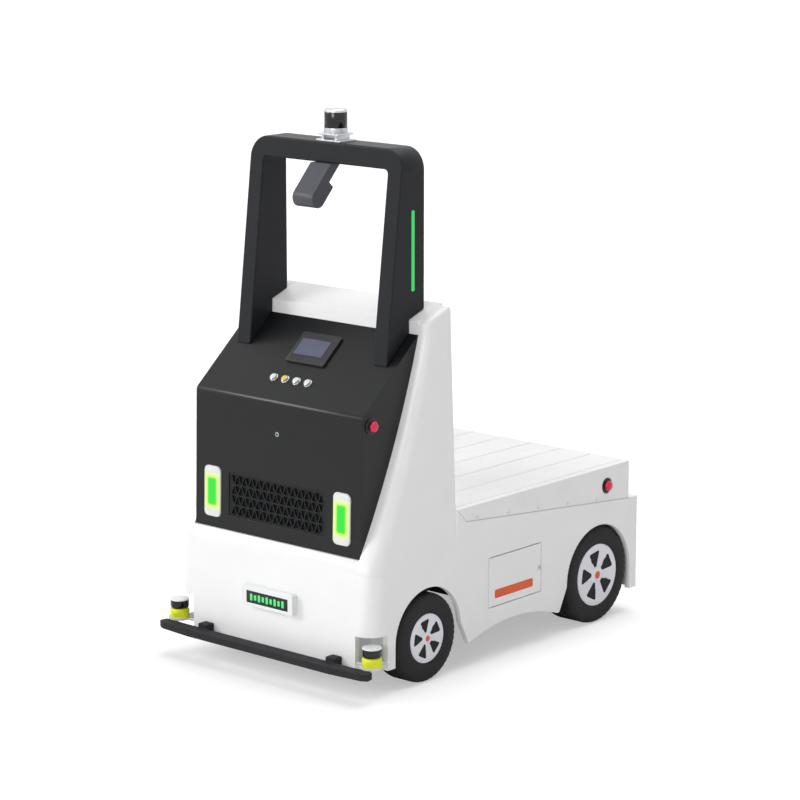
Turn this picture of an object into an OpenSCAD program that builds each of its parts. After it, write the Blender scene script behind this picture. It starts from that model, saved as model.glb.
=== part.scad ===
// Driverless airport tow tractor with a sensor hoop over a front console and a flat load deck.
// Millimetres. The front is -Y, the left side is +X and the ground is z = 0.
// Every module is drawn with y counted from the front axle, and from_axle() moves it into place.

/* [Overall] */
// bumper's front face to the front axle
front_overhang = 528; // [515:1:560]
// front axle to rear axle
wheelbase = 1345; // [1330:5:1450]
// rear axle to the body's rear face
rear_overhang = 330; // [320:5:380]
// tow jaw's reach behind the body
hitch_reach = 115; // [105:5:140]
// body's width over the side panels
body_width = 1290; // [1270:10:1350]
// load deck's top above the ground
deck_height = 816; // [800:2:850]

/* [Wheels] */
// front tyre's outer radius
front_tyre_r = 220; // [212:1:226]
// front tyre's width
front_tyre_w = 170; // [160:5:175]
// rear tyre's outer radius
rear_tyre_r = 255; // [247:1:260]
// rear tyre's width
rear_tyre_w = 200; // [185:5:210]
// tyre's outer face inside the body's side
tyre_inset = 6; // [4:1:12]
// gap between a front tyre and its arch
arch_gap = 23; // [20:1:28]
// front wheel disc's radius
front_disc_r = 121; // [112:1:126]
// rear wheel disc's radius
rear_disc_r = 161; // [150:1:166]
// windows in each wheel disc
window_count = 5; // [4:1:7]

/* [Nose and panels] */
// nose's height, where the console stands
nose_height = 668; // [650:2:684]
// nose's lower edge above the ground
nose_bottom = 129; // [121:1:140]
// bumper's depth ahead of the nose
bumper_depth = 118; // [108:1:126]
// radius of the body's front corners
corner_r = 85; // [75:1:90]
// radius of the body's rear corners
rear_corner_r = 12; // [8:1:24]
// wall of the body panels
panel_t = 30; // [24:1:34]
// rise of the sill's arc between the wheels
sill_rise = 61; // [50:1:70]
// side hatch's rear edge to the rear axle
hatch_rear = 477; // [465:1:500]
// side hatch's height
hatch_high = 258; // [235:1:270]
// gap around a hatch
hatch_gap = 5; // [5:0.5:8]
// sensor pocket's width at the nose corner
pocket_w = 107; // [100:1:112]

/* [Tower and console] */
// tower's rear face behind the front axle
tower_back = 212; // [200:2:230]
// tower's height at its rear edge
tower_high = 1816; // [1800:2:1840]
// hollow of the tower's swept front edge
sweep_sag = 33; // [24:1:42]
// side walls' inward lean in degrees
wing_lean = 2.2; // [1.6:0.1:2.6]
// radius of the white band's outer edge at the top
edge_r = 40; // [30:1:44]
// white band's width beside the console
band_w = 100; // [95:1:110]
// console's height at its front crease
crease_high = 1349; // [1330:1:1365]
// radius of the console's front crease
crease_r = 30; // [20:1:40]
// lamp housing to the grille
grille_gap = 52; // [48:1:66]
// grille's height
grille_h = 216; // [200:2:228]
// rows of grille openings
grille_rows = 4; // [3:1:5]

/* [Sensor hoop] */
// hoop's outer face inside the body's side
hoop_inset = 155; // [146:1:175]
// hoop leg's width
hoop_leg = 88; // [76:2:100]
// crossbar's underside
hoop_inner_high = 2464; // [2440:2:2480]
// crossbar's depth from top to underside
hoop_bar = 99; // [88:1:110]
// radius of the hoop's outer corners
hoop_r = 105; // [80:5:115]
// turning sensor's diameter
lidar_d = 112; // [104:1:116]

/* [Running gear] */
// steering pivot to the front wheel's middle
pivot_offset = 124; // [121:1:129]
// steering pin's radius
kingpin_r = 14; // [12:1:15]
// steering arm's length
arm_len = 140; // [130:2:150]
// frame rail's height
rail_h = 70; // [60:2:76]
// frame rail's width
rail_w = 60; // [50:2:64]
// radial play of turning pins
play = 0.05; // [0.03:0.01:0.08]
// radius of the tow pin's bore
tow_bore_r = 16; // [14:0.5:18]

/* [Hidden] */
$fn = 64;
half_w = body_width / 2;
side_in = half_w - panel_t;
total_len = front_overhang + wheelbase + rear_overhang + hitch_reach;
axle_y = front_overhang - total_len / 2;
nose_y = bumper_depth - front_overhang;
nose_in = nose_y + panel_t;
body_rear = wheelbase + rear_overhang;

// swept front edge: a round shoulder, then a hollow arc up to the tower's lip
lip_y = 37;
lip_low = tower_high - 129;
lip_high = tower_high - 65;
sweep_a = [nose_y + 15, nose_height - 12];
sweep_b = [lip_y, lip_low];
sweep_d = sweep_b - sweep_a;
sweep_len = norm(sweep_d);
sweep_r = (sweep_len * sweep_len / 4 + sweep_sag * sweep_sag) / (2 * sweep_sag);
sweep_n = [-sweep_d[1], sweep_d[0]] / sweep_len;
sweep_c = (sweep_a + sweep_b) / 2 + sweep_n * (sweep_r - sweep_sag);
start_lean = atan2(sweep_d[0], sweep_d[1]) + asin(sweep_len / 2 / sweep_r);
shoulder_r = 15 / (1 - cos(start_lean));
shoulder_z = sweep_a[1] - shoulder_r * sin(start_lean);
shoulder_c = [nose_y + shoulder_r, shoulder_z];

// console
console_half = half_w - band_w;
console_t = 20;
seat = 0.02;
face_low = [nose_y + 33, nose_height + seat];
crease = [nose_y + 50, crease_high];
face_tilt = atan2(crease[0] - face_low[0], crease[1] - face_low[1]);
slope_d = sweep_b - crease;
slope = atan2(slope_d[1], slope_d[0]);

// seams of the load deck
deck_rear = body_rear - 75;
deck_t = 30;
notch = 69;
seam_front = [tower_back + notch - 2, deck_height - notch];
rear_top = deck_height - 200;
seam_rear = [body_rear - 40, rear_top];

// sensor pockets at the nose corners
pocket_x = half_w - pocket_w;
pocket_back = nose_y + 112;
pocket_top = nose_bottom + 175;
shelf_top = nose_bottom + 50;
shelf_t = 12;
liner_t = 12;
scan_at = [half_w - 5, nose_y + 5];
scan_r = 52;

// hatches
hatch_front = front_tyre_r + 230;
hatch_len = wheelbase - hatch_rear - hatch_front;
hatch_low = nose_bottom + 141;
barrel_r = 6;
pin_at = [half_w - barrel_r, hatch_front + 2 * barrel_r];

// running gear
rail_z = 326;
boss_r = 28;
boss_h = 80;
ear_t = 22;
ear_gap = 7;
spindle_r = 20;
rear_spindle_r = 26;
tyre_out = half_w - tyre_inset;
front_mid = tyre_out - front_tyre_w / 2;
rear_mid = tyre_out - rear_tyre_w / 2;
pivot_x = front_mid - pivot_offset;
rail_in = pivot_x - 150;
rail_out = rail_in + rail_w;
axle_half = rear_mid - rear_tyre_w / 2 - 39;
battery_half = side_in - 185;
hoop_w = body_width - 2 * hoop_inset;
arm_pin_r = 9;
arm_z = front_tyre_r - boss_h / 2 - ear_gap - ear_t;
rod_r = 11;
rod_z = arm_z - 5 - rod_r;

// x, y and z of each emergency stop's base on the left side
stops = [[console_half, nose_y + 110, crease_high - 49], [half_w - 8, body_rear - 268, deck_height - 99]];

white = [0.93, 0.93, 0.94];
black = [0.16, 0.16, 0.17];
steel = [0.25, 0.26, 0.28];
silver = [0.75, 0.76, 0.78];
green = [0.2, 0.95, 0.35];
red = [0.85, 0.1, 0.2];
yellow = [0.88, 0.9, 0.05];

// helpers

module from_axle() translate([0, axle_y, 0]) children();

module both() {
  children();
  mirror([1, 0, 0]) children();
}

// extrudes a (y, z) profile from x0 to x1
module across(x0, x1) translate([x0, 0, 0]) rotate([90, 0, 90]) linear_extrude(x1 - x0) children();

// extrudes an (x, z) profile from y0 to y1
module along(y0, y1) translate([0, y1, 0]) rotate([90, 0, 0]) linear_extrude(y1 - y0) children();

// box between two corners
module block(a, b) translate(a) cube(b - a);

// what a round of radius r takes off an outer corner at the origin
module corner_off(r) translate([-r, -r]) difference() {
  square(r + 1);
  circle(r);
}

module rounded(w, h, r) {
  square([w - 2 * r, h], center = true);
  square([w, h - 2 * r], center = true);
  for (x = [-1, 1], y = [-1, 1]) translate([x * (w / 2 - r), y * (h / 2 - r)]) circle(r);
}

// places children on the console's front face, z outward, s up the face
module on_face(x, s) translate([0, face_low[0], face_low[1]]) rotate([90 - face_tilt, 0, 0])
  translate([x, s, 0]) children();

// places children on the console's sloping top, z outward, s up the slope
module on_slope(x, s) translate([0, crease[0], crease[1]]) rotate([slope, 0, 0])
  translate([x, s, 0]) children();

// frame and axles

module frame_rails() color(steel) from_axle() both()
  block([rail_in, nose_in, rail_z], [rail_out, body_rear - panel_t, rail_z + rail_h]);

module cross_members() color(steel) from_axle() {
  for (y = [nose_in + 60, front_tyre_r + 80, wheelbase - 350, body_rear - 130])
    block([-rail_in, y, rail_z], [rail_in, y + 50, rail_z + rail_h]);
  both() for (y = [front_tyre_r + 136, wheelbase - rear_tyre_r - 125])
    block([rail_out, y, rail_z], [side_in, y + 50, rail_z + rail_h - 10]);
}

module front_axle_beam() color(steel) from_axle() difference() {
  union() {
    translate([0, 0, front_tyre_r]) cube([2 * pivot_x, 70, boss_h - 10], center = true);
    both() {
      translate([pivot_x, 0, front_tyre_r]) cylinder(h = boss_h, r = boss_r, center = true);
      block([rail_in, -45, front_tyre_r], [rail_out, 45, rail_z]);
    }
  }
  both() translate([pivot_x, 0, 0]) {
    cylinder(h = 2 * front_tyre_r, r = kingpin_r + play);
    translate([boss_r, -60, 0]) cube([60, 120, 2 * front_tyre_r]);
  }
}

module rear_axle() color(steel) from_axle() translate([0, wheelbase, rear_tyre_r]) {
  rotate([0, 90, 0]) cylinder(h = 2 * axle_half, r = 58, center = true);
  rotate([0, 90, 0]) cylinder(h = 2 * (rear_mid + rear_tyre_w / 2 - 70), r = rear_spindle_r, center = true);
  rotate([0, 90, 0]) cylinder(h = 170, r = 100, center = true);
  rotate([90, 0, 0]) cylinder(h = 250, r = 72);
  translate([0, -250, 0]) rotate([90, 0, 0]) cylinder(h = 30, r = 60);
  both() block([rail_in, -55, 0], [rail_out, 55, rail_z - rear_tyre_r]);
}

module battery_block() color([0.3, 0.32, 0.36]) from_axle()
  block([-battery_half, front_tyre_r + 196, rail_z + rail_h],
        [battery_half, wheelbase - rear_tyre_r - 58, deck_height - 2 * deck_t]);

// body panels

// plan of the nose inside its outer skin, t deep
module nose_plan(t) difference() {
  translate([t - half_w, nose_y + t]) square([body_width - 2 * t, pocket_back - nose_y - t]);
  both() translate([half_w - t, nose_y + t]) mirror([0, 1]) corner_off(corner_r - t);
}

module nose_panel() color(white) from_axle() difference() {
  union() {
    translate([0, 0, nose_bottom]) linear_extrude(shoulder_z - nose_bottom) nose_plan(0);
    across(-console_half, console_half) difference() {
      translate([nose_y, shoulder_z - 1]) square([pocket_back - nose_y, nose_height - shoulder_z + 1]);
      difference() {
        translate([nose_y - 1, shoulder_z]) square([shoulder_r / 2, shoulder_r]);
        translate(shoulder_c) circle(shoulder_r);
      }
    }
  }
  translate([0, 0, nose_bottom - 1]) linear_extrude(shoulder_z - nose_bottom - panel_t + 1) nose_hollow();
  both() block([pocket_x, nose_y - 1, nose_bottom - 1], [half_w + 1, pocket_back + 1, pocket_top]);
}

// plan of the space behind the nose's wall
module nose_hollow() difference() {
  translate([-side_in, nose_in]) square([2 * side_in, pocket_back - nose_in + 1]);
  both() translate([side_in, nose_in]) mirror([0, 1]) corner_off(corner_r - panel_t);
}

module side_profile() difference() {
  polygon([[pocket_back, nose_bottom], [body_rear, nose_bottom], [body_rear, rear_top], seam_rear,
           seam_front, [tower_back, deck_height], [tower_back, shoulder_z], [pocket_back, shoulder_z]]);
  arch(0, front_tyre_r, 12, arch_gap);
  arch(wheelbase, rear_tyre_r, 0, arch_gap - 12);
  flare(front_tyre_r + arch_gap, 1);
  flare(wheelbase - rear_tyre_r - arch_gap + 12, -1);
  sill();
  translate([hatch_front, hatch_low]) square([hatch_len, hatch_high]);
}

module arch(y, r, rise, gap) {
  translate([y, r + rise]) circle(r + gap);
  translate([y - r - gap, 0]) square([2 * (r + gap), r + rise]);
}

// slanted cut beside a wheel, opening downward from y
module flare(y, way) polygon([[y - way, front_tyre_r + 28], [y - way, 0], [y + way * 126, 0]]);

// hollow of the sill between the wheels
module sill() {
  a = front_tyre_r + 83;
  b = wheelbase - rear_tyre_r - 90;
  r = ((b - a) * (b - a) / 4 + sill_rise * sill_rise) / (2 * sill_rise);
  translate([(a + b) / 2, nose_bottom + sill_rise - r]) circle(r, $fn = 128);
}

rear_return = 90;

module side_panels() color(white) from_axle() both() {
  intersection() {
    across(0, half_w) side_profile();
    linear_extrude(deck_height) difference() {
      translate([half_w - rear_return, pocket_back]) square([rear_return, body_rear - pocket_back]);
      translate([half_w, body_rear]) corner_off(rear_corner_r);
      difference() {
        translate([half_w - rear_return - 1, pocket_back - 1])
          square([side_in - half_w + rear_return + 1, body_rear - panel_t - pocket_back + 1]);
        translate([side_in, body_rear - panel_t]) corner_off(rear_corner_r - panel_t);
      }
    }
  }
  translate([pin_at[0], pin_at[1], hatch_low - 8]) cylinder(h = hatch_high + 16, r = barrel_r / 2);
}

module rear_panel() color(white) from_axle() {
  x = half_w - rear_return;
  block([-x, body_rear - panel_t, nose_bottom], [x, body_rear, rear_top]);
  block([-x, body_rear - 2 * panel_t, rear_top - panel_t], [x, body_rear - panel_t / 2, rear_top]);
  translate([0, 0, rear_top - panel_t]) linear_extrude(panel_t) difference() {
    translate([-side_in, deck_rear - deck_t]) square([2 * side_in, body_rear - panel_t - deck_rear + deck_t]);
    both() translate([side_in, body_rear - panel_t]) corner_off(rear_corner_r - panel_t);
  }
}

module deck_profile() polygon([[tower_back, deck_height], seam_front, [deck_rear, seam_z(deck_rear)],
                               [deck_rear, deck_height]]);

// height of the deck's seam at y
function seam_z(y) = seam_front[1] + (seam_rear[1] - seam_front[1]) * (y - seam_front[0])
                     / (seam_rear[0] - seam_front[0]);

groove_pitch = 200;

module deck_cover() color(white) from_axle() difference() {
  across(-half_w, half_w) deck_profile();
  both() translate([half_w, deck_rear, 0]) linear_extrude(2 * deck_height) corner_off(rear_corner_r);
  block([-side_in, tower_back - 1, 0], [side_in, deck_rear - deck_t, deck_height - deck_t]);
  for (i = [-3:3]) block([i * groove_pitch - 4, tower_back - 1, deck_height - 3],
                         [i * groove_pitch + 4, deck_rear + 1, deck_height + 1]);
  both() translate([stops[1][0], stops[1][1], stops[1][2]]) rotate([0, 90, 0]) cylinder(h = 20, r = 42);
}

// tower and console

// front of the tower's side wall at height z
function front_at(z) = z <= sweep_a[1]
  ? shoulder_c[0] - sqrt(shoulder_r * shoulder_r - (z - shoulder_z) * (z - shoulder_z))
  : z >= lip_low ? lip_y : sweep_c[0] + sqrt(sweep_r * sweep_r - (z - sweep_c[1]) * (z - sweep_c[1]));

// top of the tower at y
function top_at(y) = lip_high + (tower_high - lip_high) * (y - lip_y) / (tower_back - lip_y);

// outline of a side wall at height z: square inside, round at the front and rear outside edges
function wing_ring(z) = let (
  f = front_at(z),
  rise = (z - shoulder_z) / (lip_low - shoulder_z),
  r = corner_r + (edge_r - corner_r) * min(1, rise),
  x = half_w - tan(wing_lean) * (z - shoulder_z))
  concat([[console_half, tower_back], [console_half, f]],
         [for (a = [0:7.5:90]) [x - r + r * sin(a), f + r - r * cos(a)]],
         [for (a = [0:22.5:90]) [x - 8 + 8 * cos(a), tower_back - 8 + 8 * sin(a)]]);

wing_steps = 12;

module wing() {
  levels = concat([for (i = [0:2]) shoulder_z + (sweep_a[1] - shoulder_z) * i / 3],
                  [for (i = [0:wing_steps]) sweep_a[1] + (lip_low - sweep_a[1]) * i / wing_steps]);
  rings = concat([for (z = levels) [for (p = wing_ring(z)) [p[0], p[1], z]]],
                 [[for (p = wing_ring(lip_high)) [p[0], p[1], top_at(p[1])]]]);
  n = len(rings[0]);
  m = len(rings);
  polyhedron(points = [for (ring = rings) each ring],
    faces = concat([[for (i = [0:n - 1]) i]], [[for (i = [n - 1:-1:0]) (m - 1) * n + i]],
      [for (k = [0:m - 2], i = [0:n - 1]) let (a = k * n + i, b = k * n + (i + 1) % n)
        each [[b, a, a + n], [b, a + n, b + n]]]));
}

module tower_wings() color(white) from_axle() both() wing();

module tower_cover() color(white) from_axle() across(-console_half, console_half) difference() {
  polygon([[lip_y, lip_low - 30], [lip_y, lip_high], [tower_back, tower_high],
           [tower_back, deck_height - 60], [tower_back - panel_t, deck_height - 60],
           [tower_back - panel_t, lip_low - 30]]);
  polygon([[lip_y + panel_t, lip_low - 31], [lip_y + panel_t, lip_high - 20],
           [tower_back - panel_t, tower_high - 52], [tower_back - panel_t, lip_low - 31]]);
}

function unit(v) = v / norm(v);
// centre of a round of radius r in the corner b between a and c
function round_c(a, b, c, r) = b + unit(unit(a - b) + unit(c - b)) * r
                                   / sin(acos(unit(a - b) * unit(c - b)) / 2);
function round_run(a, b, c, r) = r / tan(acos(unit(a - b) * unit(c - b)) / 2);

// console's side view, t inside its outer skin
module console_profile(t) {
  up = [sin(face_tilt), cos(face_tilt)];
  back = [cos(slope), sin(slope)];
  a = face_low + [t / cos(face_tilt), 0];
  b = round_c(face_low, crease, sweep_b, t == 0 ? 0.001 : t);
  c = [sweep_b[0], sweep_b[1] - t / cos(slope)];
  r = max(crease_r - t, 4);
  run = round_run(a, b, c, r);
  mid = round_c(a, b, c, r);
  difference() {
    polygon([a, b, c, [lip_y, nose_height]]);
    difference() {
      polygon([mid, b - up * run, b + (b - mid) * 0.2, b + back * run]);
      translate(mid) circle(r);
    }
  }
}

module console_shell() color(black) from_axle() difference() {
  across(-console_half, console_half) console_profile(0);
  translate([0, 0, -1]) across(console_t - console_half, console_half - console_t) console_profile(console_t);
  across(console_t - console_half, console_half - console_t)
    polygon([[lip_y - 80, nose_height - 2], [lip_y + 1, nose_height - 2], [lip_y + 1, lip_low - 60],
             [lip_y - 80, lip_low - 140]]);
  on_face(0, grille_s) translate([0, 0, -30]) linear_extrude(40) rounded(grille_w, grille_h, 8);
}

grille_s = 181;
lamp_s = 180;
lamp_x = console_half - 119;
lamp_w = 108;
grille_w = 2 * (lamp_x - lamp_w / 2 - grille_gap);

module grille_panel() color(black) from_axle() on_face(0, grille_s) translate([0, 0, -14])
  linear_extrude(10) difference() {
    rounded(grille_w, grille_h, 8);
    pitch = 46;
    high = (grille_h - 14) / grille_rows;
    count = floor((grille_w - 30) / pitch * 2);
    for (r = [0:grille_rows - 1], c = [0:count - 1]) translate([(c - (count - 1) / 2) * pitch / 2,
      (r + 0.5) * high + 7 - grille_h / 2]) mirror([0, (r + c) % 2])
        polygon([[-pitch / 2 + 6, 4 - high / 2], [pitch / 2 - 6, 4 - high / 2], [0, high / 2 - 6]]);
  }

module headlamp_housings() color(white) from_axle() both() on_face(lamp_x, lamp_s) difference() {
  linear_extrude(9) rounded(lamp_w, 253, 26);
  translate([0, 0, 3]) linear_extrude(9) rounded(60, 140, 16);
}

module headlamp_lenses() color(green) from_axle() both() on_face(lamp_x, lamp_s)
  translate([0, 0, 3]) linear_extrude(8) rounded(60 - 2 * seat, 140 - 2 * seat, 16);

screen_x = 8;
screen_s = 0.64 * norm(slope_d);
screen_t = 12;
screen_glass = [182, 98];

module screen_bezel() color(black) from_axle() on_slope(screen_x, screen_s) difference() {
  linear_extrude(screen_t) rounded(250, 186, 12);
  translate([-12, 4, screen_t - 3]) linear_extrude(9) square(screen_glass, center = true);
}

sign_z = nose_bottom + 259;
sign_depth = 37;
sign_glass = [272, 60];

module display_glass() color([0.3, 0.33, 0.4]) from_axle() {
  on_slope(screen_x, screen_s) translate([-12, 4, screen_t - 3]) linear_extrude(2)
    square(screen_glass, center = true);
  translate([0, 0, sign_z - 4]) along(nose_y - sign_depth + 1, nose_y - sign_depth + 4)
    square(sign_glass, center = true);
}

module sign_box() color(white) from_axle() translate([0, 0, sign_z]) difference() {
  along(nose_y - sign_depth, nose_y) rounded(334, 102, 14);
  translate([0, 0, -4]) along(nose_y - sign_depth - 1, nose_y - sign_depth + 4)
    square(sign_glass, center = true);
}

module push_buttons() color(silver) from_axle() for (i = [0:3]) on_slope((i - 1.5) * 74 - 7, 136) {
  cylinder(h = 6, r = 19);
  cylinder(h = 16, r = 14);
}

module stop_collars() color(black) from_axle() both() for (p = stops) translate(p) rotate([0, 90, 0]) {
  cylinder(h = 6, r = 40);
  cylinder(h = 12, r = 16);
}

module stop_buttons() color(red) from_axle() both() for (p = stops) translate(p) rotate([0, 90, 0])
  translate([0, 0, 12]) {
    cylinder(h = 12, r1 = 22, r2 = 26);
    translate([0, 0, 12]) cylinder(h = 8, r1 = 26, r2 = 19);
  }

// sensor hoop

hoop_front_low = [lip_y - 168, crease_high + 196];
hoop_front_top = [lip_y - 58, hoop_inner_high];
hoop_foot = hoop_front_low + (hoop_front_low - hoop_front_top) * 0.25;
hoop_back = tower_back - 66;
hoop_top = hoop_inner_high + hoop_bar;

module hoop() color(black) from_axle() difference() {
  intersection() {
    across(-hoop_w / 2, hoop_w / 2) polygon([hoop_foot, hoop_front_top,
      hoop_front_top + [12, hoop_bar], [hoop_back, hoop_top], [hoop_back, crease_high]]);
    along(nose_y, tower_back) difference() {
      translate([-hoop_w / 2, 0]) square([hoop_w, hoop_top]);
      both() translate([hoop_w / 2, hoop_top]) corner_off(hoop_r);
      difference() {
        translate([hoop_leg - hoop_w / 2, 0]) square([hoop_w - 2 * hoop_leg, hoop_inner_high]);
        both() translate([hoop_w / 2 - hoop_leg, hoop_inner_high]) corner_off(24);
      }
    }
  }
  across(-half_w, half_w) polygon([crease + slope_d * -0.5, sweep_b, [lip_y, lip_high],
    [tower_back, tower_high], [tower_back + 50, tower_high], [tower_back + 50, 0], [nose_y - 300, 0]]);
}

module light_strips() color(green) from_axle() both()
  translate([hoop_w / 2, hoop_back - 86, (tower_high + 70 + hoop_inner_high - 192) / 2]) rotate([90, 0, 90])
    linear_extrude(3) rounded(20, hoop_inner_high - 262 - tower_high, 8);

lidar_y = hoop_back - 83;
lidar_r = lidar_d / 2;
pod_w = 130;

module lidar_bracket() color(silver) from_axle() translate([0, lidar_y, hoop_top]) {
  linear_extrude(8) rounded(160, 120, 10);
  translate([0, 0, 30]) linear_extrude(8) rounded(132, 120, 10);
  both() translate([36, -48, 8]) cube([12, 96, 22]);
}

module lidar_housing() color(silver) from_axle() translate([0, lidar_y, hoop_top + 38]) {
  cylinder(h = 25, r = lidar_r + 3);
  translate([0, 0, 100]) cylinder(h = 9, r = lidar_r);
  translate([0, 0, 109]) cylinder(h = 6, r1 = lidar_r, r2 = lidar_r - 6);
}

module lidar_window() color(black) from_axle() translate([0, lidar_y, hoop_top + 63])
  cylinder(h = 75, r = lidar_r);

module camera_pod() color(black) from_axle() intersection() {
  translate([0, lip_y - 84, hoop_inner_high]) rotate([47, 0, 0]) {
    translate([-pod_w / 2, -172, -90]) cube([pod_w, 104, 90]);
    translate([-pod_w / 2, -172, -45]) rotate([0, 90, 0]) cylinder(h = pod_w, r = 45);
    translate([-pod_w / 2, -80, -52]) cube([pod_w, 190, 52]);
    translate([0, -130, -98]) cylinder(h = 20, r = 30);
  }
  block([-pod_w, nose_y, hoop_inner_high - 300], [pod_w, tower_back, hoop_inner_high]);
}

// nose fittings

module scanner_pockets() color([0.65, 0.66, 0.69]) from_axle() both() {
  difference() {
    union() {
      translate([0, 0, shelf_top - shelf_t]) linear_extrude(pocket_top - shelf_top + shelf_t + liner_t)
        intersection() {
          nose_hollow();
          translate([pocket_x - liner_t, nose_y]) square([half_w, pocket_back - nose_y]);
        }
      block([pocket_x - liner_t, pocket_back, shelf_top - shelf_t],
            [side_in, pocket_back + liner_t, pocket_top + liner_t]);
    }
    block([pocket_x, nose_y - 1, shelf_top - shelf_t - 1], [half_w, pocket_back, pocket_top]);
  }
  translate([0, 0, shelf_top - shelf_t]) linear_extrude(shelf_t) {
    translate([pocket_x, scan_at[1]]) square([scan_at[0] - pocket_x, pocket_back - scan_at[1]]);
    translate(scan_at) circle(scan_r + 4);
  }
}

module scanner_bases() color(yellow) from_axle() both() translate([scan_at[0], scan_at[1], shelf_top]) {
  cylinder(h = 30, r = scan_r);
  translate([0, 0, 30]) cylinder(h = 14, r1 = scan_r, r2 = scan_r - 12);
}

module scanner_hoods() color(black) from_axle() both() translate([scan_at[0], scan_at[1], shelf_top + 44]) {
  cylinder(h = 14, r = scan_r - 14);
  translate([0, 0, 14]) cylinder(h = 28, r = scan_r - 5);
  translate([0, 0, 42]) cylinder(h = 6, r1 = scan_r - 5, r2 = scan_r - 12);
}

bumper_half = half_w + 48;
bumper_h = 36;
bumper_low = shelf_top - shelf_t - bumper_h;
bumper_back = nose_y - 44;
tab_x = pocket_x - 113;

module front_bumper() color(black) from_axle() {
  translate([0, 0, bumper_low]) linear_extrude(bumper_h)
    polygon([[-bumper_half, 35 - front_overhang], [35 - bumper_half, 16 - front_overhang],
             [225 - bumper_half, -front_overhang], [bumper_half - 225, -front_overhang],
             [bumper_half - 35, 16 - front_overhang], [bumper_half, 35 - front_overhang],
             [bumper_half - 8, bumper_back], [bumper_half - 45, bumper_back + 12],
             [bumper_half - 120, bumper_back], [120 - bumper_half, bumper_back],
             [45 - bumper_half, bumper_back + 12], [8 - bumper_half, bumper_back]]);
  both() block([tab_x - 30, bumper_back - 10, bumper_low], [tab_x + 30, nose_y, bumper_low + bumper_h + 22]);
}

jaw_y = body_rear + hitch_reach - 50;
jaw_z = 330;
jaw_gap = 60;
jaw_t = 20;

module tow_coupling() color(steel) from_axle() difference() {
  union() {
    block([-95, body_rear, jaw_z - 50], [95, body_rear + 14, jaw_z + jaw_gap + 2 * jaw_t + 50]);
    for (z = [jaw_z, jaw_z + jaw_t + jaw_gap]) translate([0, 0, z]) linear_extrude(jaw_t) {
      translate([-50, body_rear]) square([100, hitch_reach - 50]);
      translate([0, jaw_y]) circle(50);
    }
  }
  translate([0, jaw_y, 0]) cylinder(h = 2 * jaw_z, r = tow_bore_r);
}

// steering

module knuckle() translate([pivot_x, 0, front_tyre_r]) {
  web_x = boss_r + 6;
  ear_z = boss_h / 2 + ear_gap;
  cylinder(h = 2 * (ear_z + ear_t), r = kingpin_r, center = true);
  for (z = [ear_z, -ear_z - ear_t]) translate([0, 0, z]) {
    cylinder(h = ear_t, r = boss_r);
    translate([0, -boss_r, 0]) cube([web_x + 18, 2 * boss_r, ear_t]);
  }
  translate([web_x, -boss_r, -ear_z - ear_t]) cube([18, 2 * boss_r, 2 * (ear_z + ear_t)]);
  translate([web_x, 0, 0]) rotate([0, 90, 0])
    cylinder(h = front_mid + front_tyre_w / 2 - 50 - pivot_x - web_x, r = spindle_r);
  translate([-18, 0, -ear_z - ear_t]) cube([30, arm_len, ear_t]);
  translate([-3, arm_len, -ear_z - ear_t]) {
    cylinder(h = ear_t, r = 15);
    translate([0, 0, -2 * rod_r - 9]) cylinder(h = 2 * rod_r + 10, r = arm_pin_r);
  }
}

module knuckle_left() color(steel) from_axle() knuckle();

module knuckle_right() color(steel) from_axle() mirror([1, 0, 0]) knuckle();

module tie_rod() color(steel) from_axle() translate([0, arm_len, rod_z]) difference() {
  union() {
    rotate([0, 90, 0]) cylinder(h = 2 * (pivot_x - 3), r = rod_r, center = true);
    both() translate([pivot_x - 3, 0, 0]) cylinder(h = 2 * rod_r, r = 24, center = true);
  }
  translate([pivot_x - 3, 0, 0]) cylinder(h = 99, r = arm_pin_r + play, center = true);
  translate([3 - pivot_x, 0, 0]) cylinder(h = 99, r = arm_pin_r + 6, center = true);
}

// wheels, drawn with the axle along Z and the outer face up

bead = 16;
wall = 8;

module tyre(r, w, disc_r) rotate_extrude($fn = 96) polygon([[disc_r - bead, wall - w / 2],
  [disc_r + 2, wall - w / 2], [disc_r + 14, 2 - w / 2], [disc_r + 26, -w / 2], [r - 30, -w / 2],
  [r - 10, 10 - w / 2], [r, 30 - w / 2], [r, w / 2 - 30], [r - 10, w / 2 - 10], [r - 30, w / 2], [disc_r + 26, w / 2],
  [disc_r + 14, w / 2 - 2], [disc_r + 2, w / 2 - wall], [disc_r - bead, w / 2 - wall]]);

module wheel(disc_r, w, hub_r, pin_r) difference() {
  rim = disc_r - bead;
  face = w / 2 - wall;
  rotate_extrude($fn = 96) polygon([[0, 25 - w / 2], [hub_r, 25 - w / 2], [hub_r, face - 24],
    [rim - 8, face - 18], [rim - 8, 12 - w / 2], [rim, 12 - w / 2], [rim, face], [disc_r, face],
    [disc_r, face + 3], [rim - 4, face + 5], [0.3 * rim, face], [0.3 * rim, face + 5], [0, face + 5]]);
  translate([0, 0, -w / 2]) cylinder(h = w - 45, r = pin_r + play);
  for (i = [0:window_count - 1]) rotate(i * 360 / window_count - 22) translate([0, 0, face - 60])
    linear_extrude(99) window(disc_r);
}

// drop-shaped window in a wheel disc, pointed to the hub
module window(r) {
  translate([0.58 * r, 0]) circle(0.18 * r);
  polygon([[0.27 * r, 0], [0.482 * r, -0.145 * r], [0.58 * r, 0], [0.482 * r, 0.145 * r]]);
}

module at_wheel(side, y, r, x) from_axle() translate([side * x, y, r]) rotate([0, side * 90, 0]) children();

module front_tyre(side) color(black) at_wheel(side, 0, front_tyre_r, front_mid)
  tyre(front_tyre_r, front_tyre_w, front_disc_r);
module rear_tyre(side) color(black) at_wheel(side, wheelbase, rear_tyre_r, rear_mid)
  tyre(rear_tyre_r, rear_tyre_w, rear_disc_r);

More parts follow.
